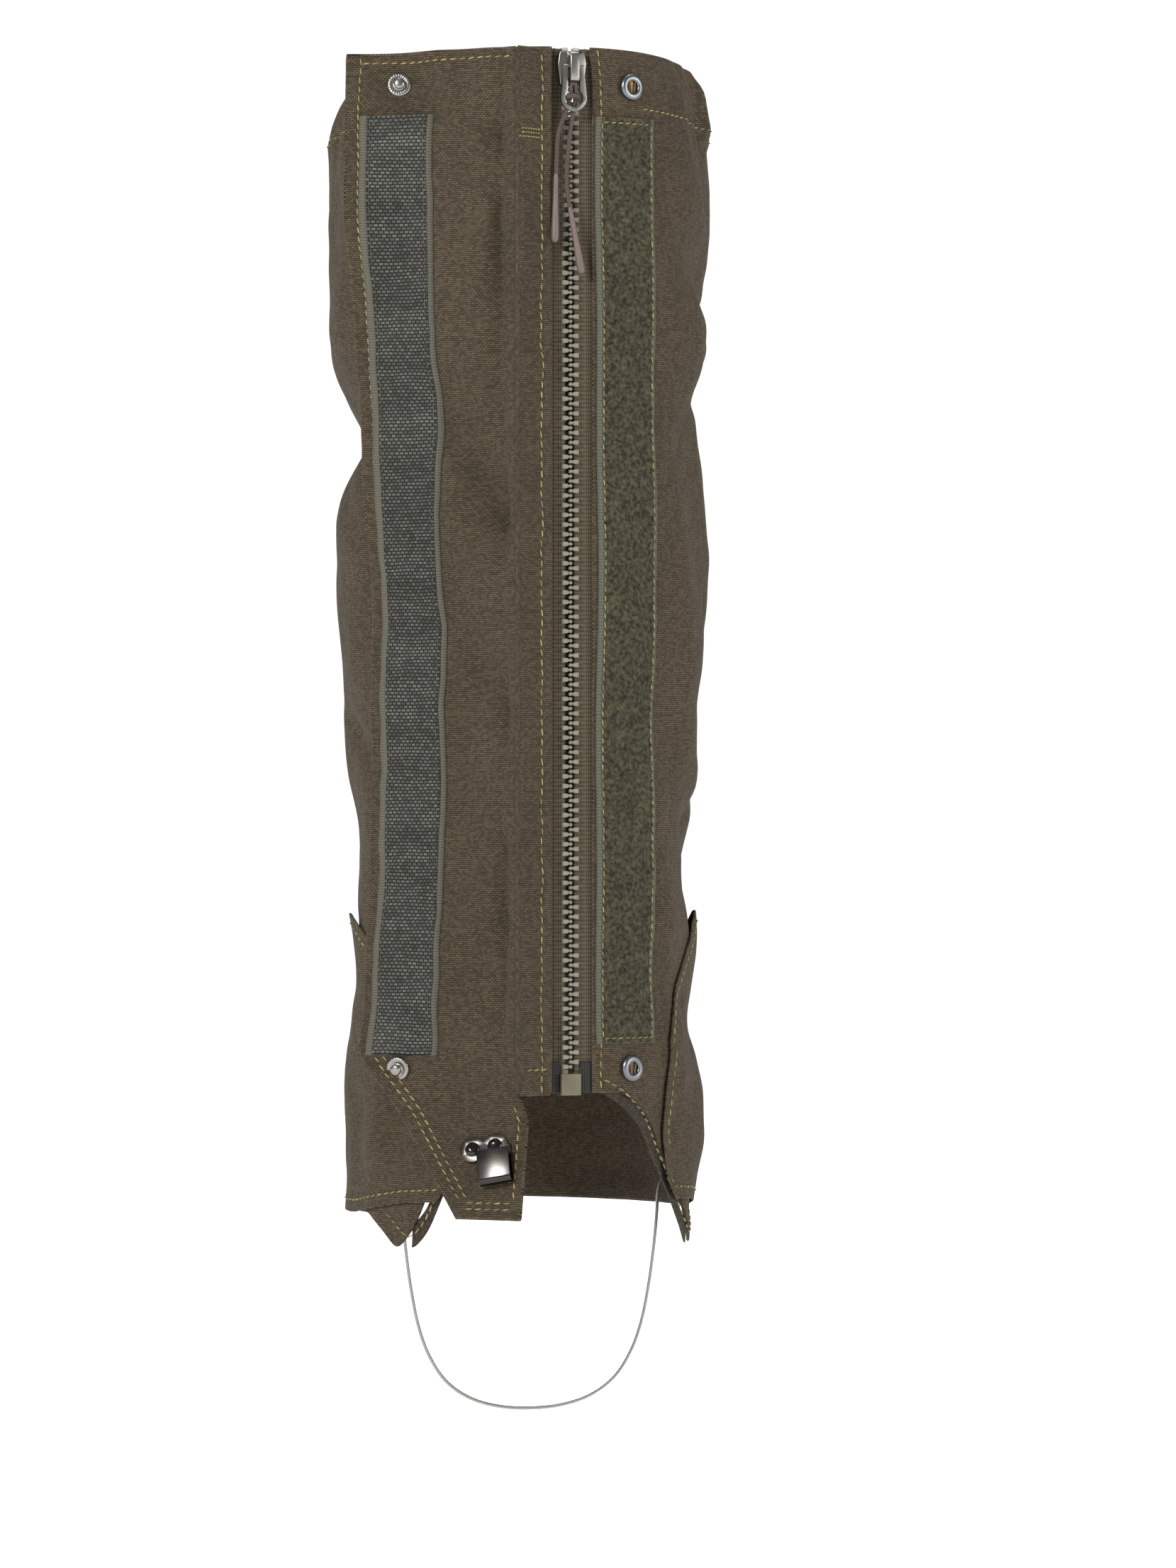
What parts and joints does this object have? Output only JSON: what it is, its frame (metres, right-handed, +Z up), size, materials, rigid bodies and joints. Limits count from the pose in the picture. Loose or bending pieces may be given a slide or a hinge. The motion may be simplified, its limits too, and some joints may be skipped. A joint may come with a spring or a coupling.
{
  "type": "hiking gaiter",
  "caption": "Tall zipped hiking gaiter with a hook-and-loop storm flap, snaps, a lace hook and a steel stirrup wire under the foot.",
  "frame": {"origin": "on the leg's axis at the height of the hem, which is where the leg and the boot hold the part", "axes": "+Z up the leg, -Y towards the zip at the front, +X to the right as seen from the front"},
  "size_m": [0.1614, 0.184, 0.5397],
  "materials": {
    "body_cloth": "coated twill, matte with a dry hand",
    "guard_cloth": "coated twill, matte",
    "flap_cloth": "coated twill, matte",
    "elastic": "woven elastic, matte",
    "zip_tape": "woven polyester tape, matte",
    "zip_plastic": "moulded acetal, satin",
    "stop_plastic": "moulded, satin",
    "end_film": "stiff woven film, slight sheen",
    "loop_pile": "brushed nylon loop pile",
    "hook_tape": "moulded nylon hooks on a woven tape",
    "snap_metal": "nickel plated, polished",
    "black_nickel": "black nickel plating, polished",
    "slider_metal": "nickel plated zinc, satin polish",
    "wire_steel": "bare stranded wire",
    "pull_cord": "braided polyester with fine pale flecks",
    "tip_rubber": "soft moulded rubber, matte",
    "tab_webbing": "woven webbing, matte"
  },
  "bodies": {
    "gaiter": {"flap_side_panel": "body_cloth", "loop_side_panel": "body_cloth", "top_casing": "body_cloth", "top_elastic": "elastic", "ankle_guard": "guard_cloth", "instep_facing_left": "body_cloth", "instep_facing_right": "body_cloth", "flap_root": "body_cloth", "zip_tape_left": "zip_tape", "zip_tape_right": "zip_tape", "zip_teeth_left": "zip_plastic", "zip_teeth_right": "zip_plastic", "zip_top_stops": "stop_plastic", "zip_end_film": "end_film", "zip_pin": "zip_plastic", "zip_box": "zip_plastic", "loop_tape": "loop_pile", "snap_sockets": "snap_metal", "snap_socket_posts": "snap_metal", "stirrup_tabs": "tab_webbing", "stirrup_eyelets": "black_nickel"},
    "flap": {"flap_shell": "flap_cloth", "flap_facing": "flap_cloth", "hook_tape": "hook_tape", "snap_studs": "snap_metal", "snap_stud_caps": "black_nickel", "lace_hook": "black_nickel", "lace_hook_rivets": "black_nickel"},
    "slider": {"slider_front": "slider_metal", "slider_back": "slider_metal"},
    "pull": {"pull_tab": "slider_metal", "pull_cord_hitch": "pull_cord", "pull_cord_left": "pull_cord", "pull_cord_right": "pull_cord", "cord_tip_left": "tip_rubber", "cord_tip_right": "tip_rubber"},
    "stirrup": {"stirrup_wire": "wire_steel", "stirrup_ferrules": "wire_steel"}
  },
  "joints": [
    {"name": "flap_hinge", "type": "hinge", "parent": "gaiter", "child": "flap", "pos_m": [-0.024, -0.0795, 0.25], "axis": [0, 0, 1], "range_deg": [-5, 212]},
    {"name": "zip_slide", "type": "slide", "parent": "gaiter", "child": "slider", "axis": [0, 0, -1], "range_m": [0, 0.32]},
    {"name": "pull_swing", "type": "hinge", "parent": "slider", "child": "pull", "pos_m": [0, -0.0751, 0.4512], "axis": [-1, 0, 0], "range_deg": [0, 180]},
    {"name": "stirrup_swing", "type": "hinge", "parent": "gaiter", "child": "stirrup", "pos_m": [0, -0.012, 0.014], "axis": [1, 0, 0], "range_deg": [-35, 60]}
  ]
}
